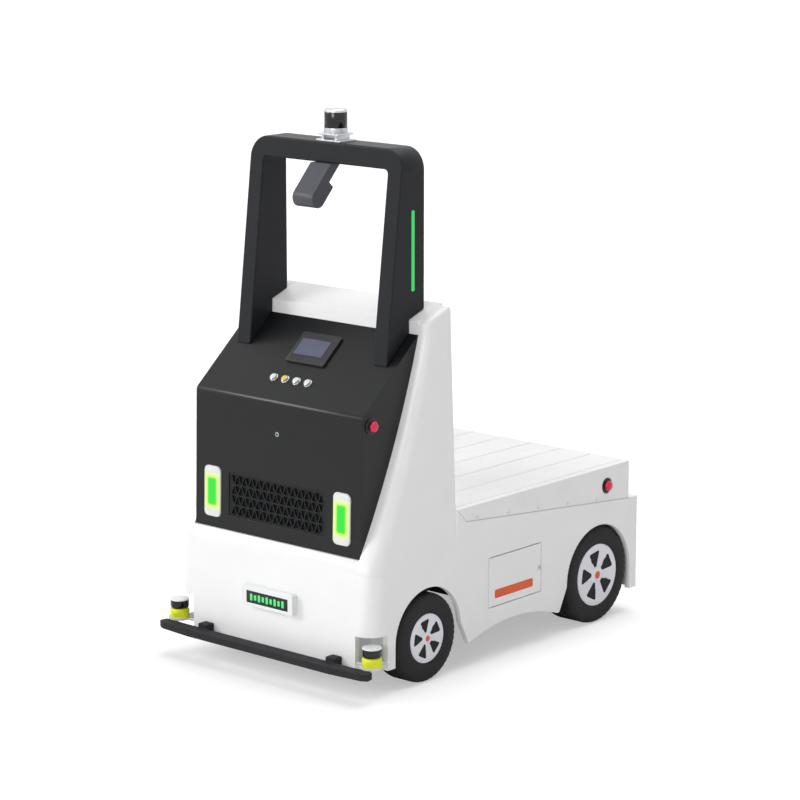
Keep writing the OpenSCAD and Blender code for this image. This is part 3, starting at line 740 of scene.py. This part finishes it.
@dataclass
class BodyShell:
    """White panels, the load deck with its screws, and the side hatches."""

    edge: float = 1.5           # eased edges of the panels
    screw_r: float = 7.0
    screw_y: tuple[float, ...] = (357.0, 596.0, 835.0, 1074.0, 1313.0)
    screw_up: float = 17.0      # screws above the seam
    seam: tuple[Point2, Point2] = ((279.0, 747.0), (1635.0, 616.0))    # lower edge of the lid's skirt
    skirt_top: Point2 = (218.0, 811.0)    # upper end of the skirt's slanting front
    deck_rear: float = 1600.0
    skirt_shadow_high: float = 4.0
    skirt_shadow_lift: Point2 = (-1.0, 0.5)       # strip's inner and outer face, from the panel's
    lock_at: Point2 = (850.0, 397.0)
    film_at: Point2 = (500.0, 312.0)      # lower front corner of the orange film
    film_size: Point2 = (300.0, 44.0)

    def seam_z(self, y: float) -> float:
        """Height of the deck's seam at y."""
        (y0, z0), (y1, z1) = self.seam
        return z0 + (z1 - z0) * (y - y0) / (y1 - y0)

    def build(self) -> None:
        """Dresses the panels and adds the small parts."""
        for node in ("nose_panel", "side_panels", "rear_panel", "tower_cover"):
            keep(node, BODY_WHITE, self.edge)
        keep("deck_cover", DECK_WHITE, 3.0)
        for side in Side:
            body = Body.HATCH_LEFT if side is Side.LEFT else Body.HATCH_RIGHT
            keep(f"hatch_{side.word}", BODY_WHITE, 2.5)
            out = Vector((side.value, 0, 0))
            for i, y in enumerate(self.screw_y):
                spot = toward(at(side.value * HALF_W, y, self.seam_z(y) + self.screw_up), out)
                screw_head(f"deck_screw_{side.word}_{i}", self.screw_r, spot, BRIGHT_STEEL, Body.CHASSIS)
            self.lock(side, body)
            self.skirt_shadow(side)
            (y, z), (long, high) = self.film_at, self.film_size
            film = soft_plate(f"hatch_film_{side.word}", self.film_size, 10, 0.6, 0.3,
                              toward(at(side.value * HALF_W, y + long / 2, z + high / 2), out))
            place(film, ORANGE_FILM, body)

    def skirt_shadow(self, side: Side) -> None:
        """Adds a grey strip of painted shadow under the deck lid's skirt.

        Args:
            side: The machine's side.
        """
        path = [self.skirt_top, self.seam[0], (self.deck_rear, self.seam_z(self.deck_rear))]
        points: list[Vector] = []
        for lift in self.skirt_shadow_lift:
            points += [at(side.value * (HALF_W + lift), y, z + up)
                       for y, z in path for up in (0.0, -self.skirt_shadow_high)]
        faces: list[Sequence[int]] = []
        for i in (0, 2):
            a, b, c, d = i, i + 1, i + 3, i + 2
            faces += [(a, b, c, d), (a + 6, b + 6, c + 6, d + 6), (a, d, d + 6, a + 6), (b, c, c + 6, b + 6)]
        faces += [(0, 1, 7, 6), (4, 5, 11, 10)]
        place(from_faces(f"deck_skirt_shadow_{side.word}", points, faces), SKIRT_SHADOW_GREY, Body.CHASSIS)

    def lock(self, side: Side, body: Body) -> None:
        """Adds a hatch's round lock with a key slot.

        Args:
            side: The machine's side.
            body: The hatch's body.
        """
        spot = toward(at(side.value * HALF_W, *self.lock_at), Vector((side.value, 0, 0)))
        profile = [(0, 1.2), (7.5, 1.2), (8.2, 2.4), (11, 2.4), (12.5, 1.2), (12.5, -1), (0, -1)]
        place(lathe(f"hatch_lock_{side.word}", profile, spot, 40), BRIGHT_STEEL, body)
        # the key slot is a black sheet of painted shade on the lock
        slot = soft_plate(f"hatch_key_slot_{side.word}", (2.4, 9), 1.1, 0.5, 0.2,
                          spot @ Matrix.Translation((0, 0, mm(1.2))))
        place(slot, SHADOW_BLACK, body)


@dataclass
class Console:
    """The black console: grille, lamps, screen, buttons, emergency stops and the sign under it."""

    face_low: Point2 = (-377.0, 668.0)    # y and z of the front face's lower edge
    crease: Point2 = (-360.0, 1349.0)     # of the crease between the face and the slope
    top: Point2 = (37.0, 1687.0)          # of the slope's upper edge
    grille_size: Point2 = (632.0, 208.0)
    grille_s: float = 181.0               # grille's middle, up the face
    grille_deep: float = 18.0             # black sheet of painted shade behind the face
    lamp_x: float = 426.0
    lamp_s: float = 180.0
    lamp_size: Point2 = (108.0, 253.0)
    lens_size: Point2 = (60.0, 140.0)
    lens_up: float = 3.0                  # lens above the lamp's seat
    eye_s: float = 524.0                  # small lens in the middle, up the face
    button_x: tuple[float, ...] = (-118.0, -44.0, 30.0, 104.0)
    button_s: float = 136.0               # buttons, up the slope
    stops: tuple[Point3, ...] = ((545.0, -300.0, 1300.0), (637.0, 1407.0, 717.0))
    sign_z: float = 384.0
    sign_face: float = -446.0
    sign_size: Point2 = (271.0, 59.0)
    bars: int = 9
    bar_pitch: float = 26.0
    bar_wide: float = 15.0
    bar_high: Point2 = (34.0, 26.0)       # heights of the lit bars, in turn

    def face(self, x: float, s: float) -> Matrix:
        """Frame on the front face at x, s up the face."""
        up = Vector((0, self.crease[0] - self.face_low[0], self.crease[1] - self.face_low[1])).normalized()
        return toward(at(x, *self.face_low) + up * mm(s), Vector((0, -up.z, up.y)), up)

    def slope(self, x: float, s: float) -> Matrix:
        """Frame on the sloping top at x, s up the slope."""
        up = Vector((0, self.top[0] - self.crease[0], self.top[1] - self.crease[1])).normalized()
        return toward(at(x, *self.crease) + up * mm(s), Vector((0, -up.z, up.y)), up)

    def build(self) -> None:
        """Builds and dresses the whole console."""
        keep("console_shell", CONSOLE_BLACK, 2.0)
        keep("grille_panel", GRILLE_BLACK)
        # a black sheet of painted shade fills the dark space behind the grille
        shade_sheet = soft_plate("grille_shade_sheet", self.grille_size, 6, 2, 0.5,
                             self.face(0, self.grille_s) @ Matrix.Translation((0, 0, mm(-self.grille_deep))))
        place(shade_sheet, SHADOW_BLACK, Body.CHASSIS)
        self.lamps()
        self.controls()
        self.sign()
        for side in Side:
            for k, spot in enumerate(self.stops):
                self.stop(side, k, spot)
        keep("stop_collars", BEZEL_BLACK, 1.5)

    def lamps(self) -> None:
        """Front lamps, each a white rim round a lit lens, and the small lens between them."""
        for side in Side:
            first = side is Side.LEFT
            spot = self.face(side.value * self.lamp_x, self.lamp_s)
            # the white frame carries a painted halo of its lens
            rim = soft_plate(f"lamp_frame_{side.word}", self.lamp_size, 26, 9.0, 5.0, spot)
            place(rim, LAMP_FRAME, Body.CHASSIS, *(("headlamp_housings",) if first else ()))
            lens = soft_plate(f"lamp_lens_{side.word}", self.lens_size, 16, 8.0, 4.0,
                              spot @ Matrix.Translation((0, 0, mm(self.lens_up))))
            place(lens, LAMP_GREEN, Body.CHASSIS, *(("headlamp_lenses",) if first else ()))
        spot = self.face(0, self.eye_s)
        profile = [(6.5, 1.5), (7.5, 3.0), (10.5, 3.0), (12, 1.5), (12, -1), (6.5, -1), (6.5, 1.5)]
        place(lathe("front_lens_rim", profile, spot, 40), BRIGHT_STEEL, Body.CHASSIS)
        eye = lathe("front_lens", [(0, 2.6), (3.0, 2.2), (5.5, 1.2), (6.6, 0.2), (6.6, -1), (0, -1)], spot, 32)
        place(eye, SENSOR_BLACK, Body.CHASSIS)

    def controls(self) -> None:
        """Screen and push buttons on the sloping top."""
        keep("screen_bezel", BEZEL_BLACK, 4.0)
        keep("display_glass", SCREEN_GLASS)
        caps = (CAP_WHITE, CAP_YELLOW, CAP_WHITE, CAP_WHITE)
        collar = [(14, 12), (15.5, 14), (17.5, 13), (19, 6), (22, 4), (22, 0), (14, 0), (14, 12)]
        dome = [(0, 16), (9, 15.6), (12.6, 14.4), (13.8, 12.5), (13.8, 2), (0, 2)]
        for i, (x, cap) in enumerate(zip(self.button_x, caps)):
            spot = self.slope(x, self.button_s)
            place(lathe(f"button_rim_{i}", collar, spot, 40), BRIGHT_STEEL, Body.CHASSIS)
            place(lathe(f"button_cap_{i}", dome, spot, 40), cap, Body.CHASSIS)
        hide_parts("push_buttons")

    def sign(self) -> None:
        """Sign on the nose: a white frame, a dark window and a row of plain lit bars."""
        keep("sign_box", HOUSING_WHITE, 4.0)
        glass = 1.0
        window = soft_plate("sign_window", self.sign_size, 2, glass, 0.4,
                            toward(at(0, self.sign_face, self.sign_z), Vector((0, -1, 0))))
        place(window, SIGN_GLASS, Body.CHASSIS)
        for i in range(self.bars):
            x = (i - self.bars // 2) * self.bar_pitch
            bar = soft_plate(f"sign_bar_{i}", (self.bar_wide, self.bar_high[i % 2]), 3, 0.5, 0.2,
                             toward(at(x, self.sign_face - glass, self.sign_z), Vector((0, -1, 0))))
            place(bar, SIGN_GREEN, Body.CHASSIS)

    def stop(self, side: Side, index: int, spot: Point3) -> None:
        """Adds one emergency stop's mushroom head.

        Args:
            side: The machine's side.
            index: Number of the stop on that side.
            spot: Its seat on the left side.
        """
        x, y, z = spot
        matrix = toward(at(side.value * x, y, z), Vector((side.value, 0, 0)))
        profile = [(0, 32), (9, 31.6), (16, 30), (22, 26.5), (25.4, 21.5), (26, 18), (25, 15), (22, 13), (16, 12),
                   (0, 12)]
        head = place(lathe(f"stop_head_{side.word}_{index}", profile, matrix, 48), STOP_RED, Body.CHASSIS)
        if side is Side.LEFT and index == 0:
            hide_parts("stop_buttons")


@dataclass
class SensorHoop:
    """The hoop with its light strips, the turning sensor on top and the camera under the crossbar."""

    turn_y: float = 63.0          # turning sensor's axis
    top: float = 2563.0           # top of the crossbar
    bracket_high: float = 38.0    # sensor's seat above the crossbar
    radius: float = 55.5          # sensor's window
    strip_r: float = 8.0
    strip_thick: float = 3.0

    def build(self) -> None:
        """Dresses the hoop and builds the turning sensor."""
        keep("hoop", HOOP_BLACK, 8.0, 4)
        keep("camera_pod", POD_GREY, 6.0, 3)
        keep("lidar_bracket", ANODISED, 1.5)
        self.strips()
        r = self.radius
        base = Matrix.Translation(at(0, self.turn_y, self.top + self.bracket_high))
        foot = [(0, 0), (r + 2, 0), (r + 3, 1.5), (r + 3, 7), (r + 1, 8), (r + 1, 10), (r + 3, 11), (r + 3, 17),
                (r + 1, 18), (r + 1, 20), (r + 3, 21), (r + 2.4, 25), (0, 25)]
        cap = [(0, 100), (r - 1.5, 100), (r, 101), (r, 108), (r - 1, 111), (r - 6, 115), (0, 115)]
        window = [(0, 25), (r - 0.6, 25), (r, 26), (r, 99), (r - 0.6, 100), (0, 100)]
        place(lathe("turning_sensor_base", foot, base, 96), ANODISED, Body.CHASSIS, "lidar_housing")
        place(lathe("turning_sensor_cap", cap, base, 96), ANODISED, Body.CHASSIS)
        place(lathe("turning_sensor_window", window, base, 96), SENSOR_BLACK, Body.CHASSIS, "lidar_window")

    def strips(self) -> None:
        """Lit strips on the hoop's outer faces."""
        low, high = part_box("light_strips")
        long = (high.z - low.z) * 1000
        wide = (high.y - low.y) * 1000
        mid, seat = (low + high) / 2, high.x - mm(self.strip_thick)
        for side in Side:
            spot = Vector((side.value * seat, mid.y, mid.z))
            strip = soft_plate(f"light_strip_{side.word}", (wide, long), self.strip_r, self.strip_thick, 1.5,
                               toward(spot, Vector((side.value, 0, 0))))
            place(strip, STRIP_GREEN, Body.CHASSIS)
        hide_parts("light_strips")


@dataclass
class CornerScanners:
    """Safety scanners in the nose's corner pockets, and the bumper below them."""

    x: float = 640.0
    y: float = -405.0
    z: float = 179.0        # seat of the scanner's foot
    radius: float = 52.0
    foot_r: float = 26.0    # corners of the squared foot
    foot_high: float = 27.0
    foot_cut: float = 10.0  # foot's width below the scanner's

    def build(self) -> None:
        """Builds a scanner on each side and dresses the pockets and the bumper."""
        keep("scanner_pockets", POCKET_GREY, 2.0)
        keep("front_bumper", BUMPER_RUBBER, 9.0, 4)
        r, wide = self.radius, 2 * self.radius - self.foot_cut
        neck = [(0, 26), (r - 3, 26), (r - 3, 30), (r - 5, 36), (r - 9, 42), (r - 12, 44), (0, 44)]
        hood = [(0, 44), (r - 11, 44), (r - 9, 46), (r - 7, 50), (r - 6, 56), (r - 6, 82), (r - 8, 84), (0, 84)]
        lid = [(0, 84), (r - 7, 84), (r - 5, 85), (r - 5, 89), (r - 7, 91.4), (0, 92)]
        for side in Side:
            first = side is Side.LEFT
            spot = Matrix.Translation(at(side.value * self.x, self.y, self.z))
            turned = spot @ Matrix.Rotation(math.pi / 4, 4, "Z")
            foot = soft_plate(f"scanner_foot_{side.word}", (wide, wide), self.foot_r, self.foot_high, 3, turned)
            place(foot, SCANNER_YELLOW, Body.CHASSIS, *(("scanner_bases",) if first else ()))
            place(lathe(f"scanner_neck_{side.word}", neck, spot, 64), SCANNER_YELLOW, Body.CHASSIS)
            place(lathe(f"scanner_hood_{side.word}", hood, spot, 64), SENSOR_BLACK, Body.CHASSIS,
                  *(("scanner_hoods",) if first else ()))
            place(lathe(f"scanner_lid_{side.word}", lid, spot, 64), HOUSING_WHITE, Body.CHASSIS)


@dataclass
class Tyre:
    """A tyre with a ribbed sidewall, shoulder lugs and round grooves."""

    node: str
    body: Body
    disc_r: float            # wheel disc that it sits on
    lugs: int = 44
    lug_deep: float = 3.0
    steps: int = 176

    def build(self) -> None:
        """Builds the tyre in the place of its solid."""
        low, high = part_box(self.node)
        mid = (low + high) / 2
        r, w = (high.z - low.z) * 500, (high.x - low.x) * 1000
        rim = self.disc_r
        h = w / 2
        half = [(rim - 16, h - 8), (rim + 1, h - 8), (rim + 5, h - 6), (rim + 10, h - 3.6), (rim + 15, h - 2),
                (rim + 18, h - 2.6), (rim + 21, h - 1), (rim + 27, h), (r - 34, h), (r - 28, h - 1.5),
                (r - 20, h - 4), (r - 12, h - 8), (r - 5, h - 15), (r - 1.5, h - 24), (r, h - 34)]
        groove = w / 8
        crown = [(r, groove + 5), (r - 9, groove + 3), (r - 9, groove - 3), (r, groove - 5)]
        profile = half + crown + [(a, -b) for a, b in reversed(crown)] + [(a, -b) for a, b in reversed(half)]
        first, last = 10, 14    # profile's points on the shoulder
        n = len(profile)

        def lug(k: int, i: int) -> float:
            """Depth taken off between shoulder lugs, the two sides half a lug apart.

            Args:
                k: Number of the profile's point.
                i: Number of the step round the tyre.

            Returns:
                The depth in millimetres.
            """
            mirrored = k >= n // 2
            j = n - 1 - k if mirrored else k
            if not first <= j <= last:
                return 0.0
            per = self.steps // self.lugs
            return self.lug_deep if (i + (per // 2 if mirrored else 0)) % per == 0 else 0.0

        spot = Matrix.Translation(mid) @ Matrix.Rotation(math.pi / 2, 4, "Y")
        tyre = lathe(f"{self.node}_rubber", profile + [profile[0]], spot, self.steps, lug)
        place(tyre, TYRE_RUBBER, self.body, self.node)


@dataclass
class RunningGear:
    """Wheels, axles, frame and the tow jaw."""

    disc_r: dict[str, float] = field(default_factory=lambda: {"front": 121.0, "rear": 161.0})
    rim_wide: float = 16.0                  # disc's flat rim
    cone: float = 5.0                       # rise of the disc from its cap to its rim
    windows: int = 5
    window_turn: float = -22.0              # turn of the first window, in degrees
    window_shade_lift: Point2 = (-4.0, 0.5)       # painted-shade wedge's back and face, from the disc's
    wedge: tuple[Point2, ...] = ((0.30, -0.01), (0.71, -0.215), (0.74, 0.165))    # as shares of the disc's radius
    wedge_r: float = 0.055
    wheels: dict[str, Body] = field(default_factory=lambda: {
        "front_left": Body.FRONT_LEFT, "front_right": Body.FRONT_RIGHT,
        "rear_left": Body.REAR_LEFT, "rear_right": Body.REAR_RIGHT})

    def build(self) -> None:
        """Builds tyres and hub details and dresses the rest."""
        for word, body in self.wheels.items():
            Tyre(f"tyre_{word}", body, self.disc_r[word.split("_")[0]]).build()
            keep(f"wheel_{word}", WHEEL_WHITE, 1.5)
            self.hub(word, body)
        for node in ("frame_rails", "cross_members", "front_axle_beam"):
            keep(node, CHASSIS_BLACK, 3.0)
        keep("rear_axle", CAST_IRON, 2.0)
        for node in ("knuckle_left", "knuckle_right"):
            keep(node, CAST_IRON, 2.0)
        keep("tie_rod", BRIGHT_STEEL)
        keep("battery_block", BATTERY_BLUE, 8.0)
        keep("tow_coupling", CAST_IRON, 3.0)

    def hub(self, word: str, body: Body) -> None:
        """Black wedges of painted shade in the disc's windows and a plain centre cap.

        Args:
            word: The wheel's place, such as "front_left".
            body: The body it turns with.
        """
        low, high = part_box(f"tyre_{word}")
        side = 1 if "left" in word else -1
        r, face = self.disc_r[word.split("_")[0]], (high.x - low.x) * 500 - 8
        hub = Matrix.Translation((low + high) / 2) @ Matrix.Rotation(side * math.pi / 2, 4, "Y")
        for i in range(self.windows):
            turn = Matrix.Rotation(math.radians(i * 360 / self.windows + self.window_turn), 4, "Z")
            self.window(f"wheel_window_shade_{word}_{i}", r, face, hub @ turn, body)
        rim = r - self.rim_wide
        cap = [(0, face + 7.5), (0.16 * rim, face + 7.3), (0.26 * rim, face + 6.6), (0.3 * rim, face + 5),
               (0.3 * rim, face + 1), (0, face + 1)]
        dot = [(0, face + 8.2), (0.13 * rim, face + 8.1), (0.14 * rim, face + 7.6), (0.14 * rim, face + 5),
               (0, face + 5)]
        place(lathe(f"wheel_cap_{word}", cap, hub, 64), WHEEL_WHITE, body)
        place(lathe(f"wheel_dot_{word}", dot, hub, 48), ORANGE_FILM, body)

    def window(self, name: str, r: float, face: float, matrix: Matrix, body: Body) -> None:
        """Fills one of the disc's windows with a black soft wedge of painted shade that follows the disc's cone.

        Args:
            name: Piece name.
            r: Radius of the disc.
            face: Height of the disc's middle above the wheel's middle.
            matrix: Frame of the wheel, turned to the window.
            body: The body that it turns with.
        """
        outline = soft_corners([(x * r, y * r) for x, y in self.wedge], self.wedge_r * r)
        n, inner, outer = len(outline), 0.3 * (r - self.rim_wide), r - self.rim_wide - 4
        points = []
        for lift in self.window_shade_lift:
            for x, y in outline:
                cone = self.cone * min(1.0, max(0.0, (math.hypot(x, y) - inner) / (outer - inner)))
                points.append((mm(x), mm(y), mm(face + cone + lift)))
        faces: list[Sequence[int]] = [tuple(range(n)), tuple(range(n, 2 * n))]
        faces += [(i, (i + 1) % n, n + (i + 1) % n, n + i) for i in range(n)]
        place(from_faces(name, points, faces, matrix), SHADOW_BLACK, body)


@dataclass(frozen=True)
class Lamp:
    """A far, broad light.

    Attributes:
        name: Light's name.
        origin: Direction that it comes from.
        angle_deg: Angle that it fills, seen from the machine.
        share: Brightness that it gives to a white surface that faces it.
    """

    name: str
    origin: Point3
    angle_deg: float
    share: float

    def build(self) -> None:
        """Puts the light in the scene."""
        data = bpy.data.lights.new(self.name, "SUN")
        data.angle, data.energy = math.radians(self.angle_deg), self.share * math.pi
        lamp = bpy.data.objects.new(self.name, data)
        lamp.matrix_world = (-Vector(self.origin)).to_track_quat("-Z", "Y").to_matrix().to_4x4()
        bpy.context.scene.collection.objects.link(lamp)


@dataclass
class Studio:
    """Camera, floor and soft light of the photograph."""

    eye: Point3 = (9248.7, -10095.2, 4220.7)
    azimuth_deg: float = 41.036
    elevation_deg: float = 12.039
    lens: float = 129.43
    floor_half: float = 90.0      # metres
    floor_share: float = 0.23     # part of the floor that the camera sees as lit from within
    floor_glow: float = 1.85
    sky: float = 0.3              # even light all round
    lamps: tuple[Lamp, ...] = (Lamp("top", (0.0, 0.3, 1.0), 50, 0.53), Lamp("key", (-0.64, -0.62, 0.44), 24, 0.4),
                               Lamp("front", (0.2, -0.92, 0.3), 24, 0.27))

    def build(self) -> None:
        """Sets up the view and the light."""
        self.camera()
        self.floor()
        self.light()
        bpy.context.scene.view_settings.view_transform = "Standard"

    def camera(self) -> None:
        """Puts the camera where the photograph was taken."""
        data = bpy.data.cameras.new("camera")
        data.lens, data.sensor_width = self.lens, 36.0
        data.clip_end = 200.0
        camera = bpy.data.objects.new("camera", data)
        a, e = math.radians(self.azimuth_deg), math.radians(self.elevation_deg)
        back = Vector((math.sin(a) * math.cos(e), -math.cos(a) * math.cos(e), math.sin(e)))
        turn = (-back).to_track_quat("-Z", "Y").to_matrix().to_4x4()
        camera.matrix_world = Matrix.Translation(at(*self.eye)) @ turn
        bpy.context.scene.collection.objects.link(camera)
        bpy.context.scene.camera = camera

    def floor(self) -> None:
        """A wide pale floor that keeps the object's shadow."""
        size = self.floor_half
        corners = [(-size, -size, 0), (size, -size, 0), (size, size, 0), (-size, size, 0)]
        floor = from_faces("floor", corners, [(0, 1, 2, 3)])
        material = bpy.data.materials.new("pale studio floor")
        material.use_nodes = True
        tree = material.node_tree
        tree.nodes.clear()
        # the camera sees a floor lifted towards white, so that its shadow stays soft and pale
        path = add_node(tree, "ShaderNodeLightPath")
        matt = add_node(tree, "ShaderNodeBsdfDiffuse", {"Color": srgb("#f4f4f4")})
        lift = add_node(tree, "ShaderNodeEmission", {"Color": srgb("#ffffff"), "Strength": self.floor_glow})
        seen = add_node(tree, "ShaderNodeMath", {"operation": "MULTIPLY", 1: self.floor_share},
                        {0: path.outputs["Is Camera Ray"]})
        mix = add_node(tree, "ShaderNodeMixShader",
                       links={0: seen.outputs[0], 1: matt.outputs[0], 2: lift.outputs[0]})
        add_node(tree, "ShaderNodeOutputMaterial", links={0: mix.outputs[0]})
        floor.data.materials.append(material)

    def light(self) -> None:
        """Even light all round, broad lamps from above and in front, and a key that draws the highlights."""
        world = bpy.data.worlds.new("studio")
        bpy.context.scene.world = world
        world.use_nodes = True
        tree = world.node_tree
        tree.nodes.clear()
        path = add_node(tree, "ShaderNodeLightPath")
        seen = add_node(tree, "ShaderNodeMath", {"operation": "MAXIMUM"},
                        {0: path.outputs["Is Camera Ray"], 1: path.outputs["Is Transmission Ray"]})
        shiny = add_node(tree, "ShaderNodeMath", {"operation": "MAXIMUM"},
                         {0: seen.outputs[0], 1: path.outputs["Is Glossy Ray"]})
        soft = add_node(tree, "ShaderNodeBackground", {"Color": srgb("#ffffff"), "Strength": self.sky})
        white = add_node(tree, "ShaderNodeBackground", {"Color": srgb("#ffffff"), "Strength": 1.0})
        mix = add_node(tree, "ShaderNodeMixShader",
                       links={0: shiny.outputs[0], 1: soft.outputs[0], 2: white.outputs[0]})
        add_node(tree, "ShaderNodeOutputWorld", links={0: mix.outputs[0]})
        for lamp in self.lamps:
            lamp.build()


def main() -> None:
    """Builds the machine's looks in order."""
    logging.basicConfig(level=logging.INFO, format="%(name)s: %(message)s")
    Studio().build()
    BodyShell().build()
    TowerWalls().build()
    Console().build()
    SensorHoop().build()
    CornerScanners().build()
    RunningGear().build()


if __name__ == "__main__":
    main()
